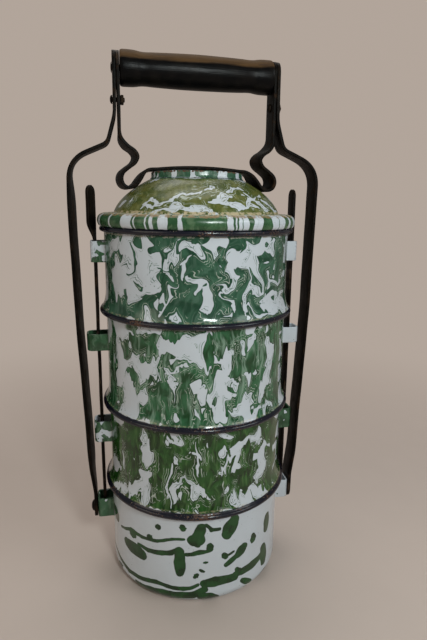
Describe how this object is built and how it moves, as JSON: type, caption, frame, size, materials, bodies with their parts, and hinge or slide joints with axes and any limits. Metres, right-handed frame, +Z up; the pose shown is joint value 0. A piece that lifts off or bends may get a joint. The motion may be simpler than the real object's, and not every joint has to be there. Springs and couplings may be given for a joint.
{
  "type": "tiffin carrier",
  "caption": "Stacked enamelled food carrier: skirted pans and a domed lid held by an iron bail that swings off the lid, with a turned wooden grip.",
  "frame": {"origin": "centre of the bottom pan's flat underside, which the carrier stands on", "axes": "+Z up through the stack, X along the grip, from strap to strap, Y the way the bail swings"},
  "size_m": [0.1858, 0.1474, 0.3952],
  "materials": {
    "lid_enamel": "glossy vitreous enamel, olive green and white marbling, black edge",
    "pan_enamel": "glossy vitreous enamel, green and bluish white marbling, black edge",
    "lug_enamel": "glossy vitreous enamel, green and white",
    "iron": "blackened iron strip with brown rust, semi-matt",
    "grip_wood": "turned hardwood, black paint worn to brown along the top"
  },
  "bodies": {
    "frame": {"pan_1": "pan_enamel", "pan_2": "pan_enamel", "pan_3": "pan_enamel", "pan_4": "pan_enamel", "lug_1_left": "lug_enamel", "lug_1_right": "lug_enamel", "lug_2_left": "lug_enamel", "lug_2_right": "lug_enamel", "lug_3_left": "lug_enamel", "lug_3_right": "lug_enamel", "lug_4_left": "lug_enamel", "lug_4_right": "lug_enamel", "upright_left": "iron", "upright_right": "iron", "pivot_rivet_left": "iron", "pivot_rivet_right": "iron"},
    "lid": {"lid_dome": "lid_enamel", "lid_foot_ring": "lid_enamel"},
    "bail": {"strap_left": "iron", "strap_right": "iron", "spring_clamp": "iron", "grip_rod": "iron", "clamp_bolt_left": "iron", "clamp_bolt_right": "iron", "clamp_nut_left": "iron", "clamp_nut_right": "iron"},
    "handgrip": {"grip": "grip_wood"}
  },
  "joints": [
    {"name": "bail_swing", "type": "hinge", "parent": "frame", "child": "bail", "pos_m": [0, 0, 0.049], "axis": [1, 0, 0], "range_deg": [-95, 95]},
    {"name": "lid_turn", "type": "hinge", "parent": "frame", "child": "lid", "pos_m": [0, 0, 0.29], "axis": [0, 0, 1], "continuous": true},
    {"name": "grip_turn", "type": "hinge", "parent": "bail", "child": "handgrip", "pos_m": [0, 0, 0.3835], "axis": [1, 0, 0], "continuous": true}
  ]
}
